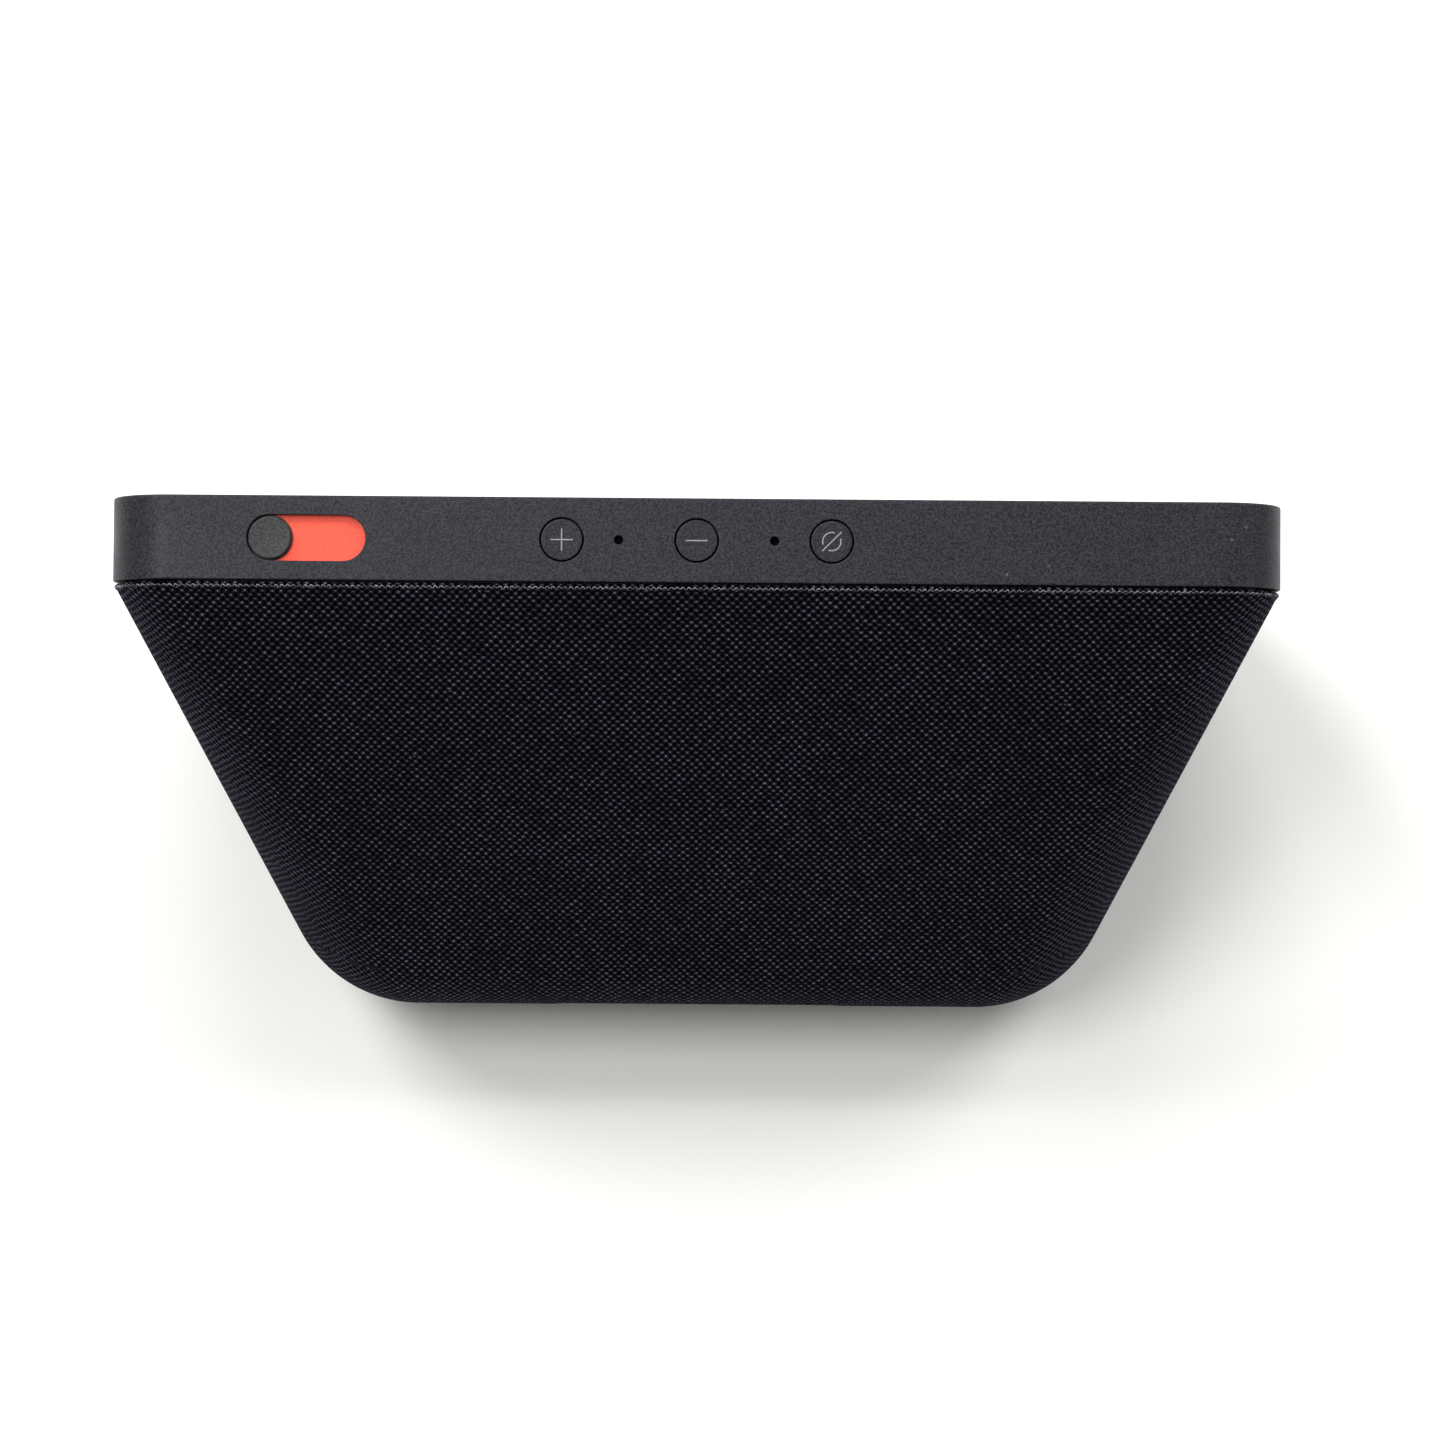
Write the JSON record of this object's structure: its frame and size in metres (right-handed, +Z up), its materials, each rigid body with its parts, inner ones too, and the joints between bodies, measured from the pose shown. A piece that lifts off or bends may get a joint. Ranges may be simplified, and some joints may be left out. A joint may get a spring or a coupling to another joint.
{
  "type": "smart display speaker",
  "caption": "Tabletop smart speaker with a tilted touch display and a fabric-wrapped wedge body, top keys and a camera slider.",
  "frame": {"origin": "centre of the bounding box in plan, on the surface that the rubber foot stands on", "axes": "+Z up, the screen faces -Y and leans back, +X to the right as seen from the front"},
  "size_m": [0.2004, 0.0992, 0.1359],
  "materials": {
    "frame_plastic": "fine satin grain",
    "woven_fabric": "coarse open weave",
    "cover_glass": "polished, black behind",
    "display_black": "unlit screen",
    "accent_orange": "matte",
    "housing_plastic": "fine texture",
    "rubber": "matte",
    "steel": "plain",
    "aluminium": "rolled sheet",
    "circuit_board": "solder mask",
    "cone_paper": "pressed pulp",
    "lens_glass": "coated lens"
  },
  "bodies": {
    "body": {"front_frame": "frame_plastic", "cover_glass": "cover_glass", "display_panel": "display_black", "display_ribbon": "cone_paper", "chassis_plate": "aluminium", "chassis_screw_1": "steel", "chassis_screw_2": "steel", "chassis_screw_3": "steel", "chassis_screw_4": "steel", "volume_up_switch": "steel", "volume_down_switch": "steel", "mic_mute_switch": "steel", "button_board": "circuit_board", "board_screw_left": "steel", "board_screw_right": "steel", "microphone_left": "steel", "microphone_right": "steel", "mic_gasket_left": "rubber", "mic_gasket_right": "rubber", "shutter_track": "housing_plastic", "camera_module": "housing_plastic", "camera_lens": "lens_glass", "light_sensor": "lens_glass", "main_board": "circuit_board", "main_board_screw_1": "steel", "main_board_screw_2": "steel", "shield_can": "steel", "heat_spreader": "aluminium", "rear_housing": "housing_plastic", "fabric_cover": "woven_fabric", "base_plate": "housing_plastic", "base_screw_1": "steel", "base_screw_2": "steel", "base_screw_3": "steel", "base_screw_4": "steel", "rubber_foot": "rubber", "right_driver_basket": "steel", "right_driver_magnet": "steel", "right_driver_surround": "rubber", "left_driver_basket": "steel", "left_driver_magnet": "steel", "left_driver_surround": "rubber", "right_speaker_lead": "rubber", "left_speaker_lead": "rubber", "radiator_frame": "housing_plastic", "radiator_surround": "rubber", "port_panel": "housing_plastic", "port_board": "circuit_board", "power_jack": "housing_plastic", "service_port": "steel"},
    "volume_up_key": {"volume_up_button": "frame_plastic"},
    "volume_down_key": {"volume_down_button": "frame_plastic"},
    "mic_mute_key": {"mic_mute_button": "frame_plastic"},
    "camera_shutter": {"shutter_knob": "frame_plastic", "shutter_indicator": "accent_orange", "shutter_blade": "housing_plastic"},
    "right_cone": {"right_driver_cone": "cone_paper"},
    "left_cone": {"left_driver_cone": "cone_paper"},
    "radiator_mass": {"radiator_plate": "steel"}
  },
  "joints": [
    {"name": "volume_up_press", "type": "slide", "parent": "body", "child": "volume_up_key", "axis": [0, -0.2924, -0.9563], "range_m": [0, 0.0006], "stiffness_N_per_m": 500, "springref_m": -0.001},
    {"name": "volume_down_press", "type": "slide", "parent": "body", "child": "volume_down_key", "axis": [0, -0.2924, -0.9563], "range_m": [0, 0.0006], "stiffness_N_per_m": 500, "springref_m": -0.001},
    {"name": "mic_mute_press", "type": "slide", "parent": "body", "child": "mic_mute_key", "axis": [0, -0.2924, -0.9563], "range_m": [0, 0.0006], "stiffness_N_per_m": 500, "springref_m": -0.001},
    {"name": "shutter_slide", "type": "slide", "parent": "body", "child": "camera_shutter", "axis": [-1, 0, 0], "range_m": [0, 0.0123]},
    {"name": "right_cone_stroke", "type": "slide", "parent": "body", "child": "right_cone", "axis": [0.9344, 0.3408, -0.1042], "range_m": [-0.002, 0.002], "stiffness_N_per_m": 800},
    {"name": "left_cone_stroke", "type": "slide", "parent": "body", "child": "left_cone", "axis": [-0.9344, 0.3408, -0.1042], "range_m": [-0.002, 0.002], "stiffness_N_per_m": 800},
    {"name": "radiator_stroke", "type": "slide", "parent": "body", "child": "radiator_mass", "axis": [0, 0.9077, 0.4195], "range_m": [-0.003, 0.003], "stiffness_N_per_m": 800}
  ]
}
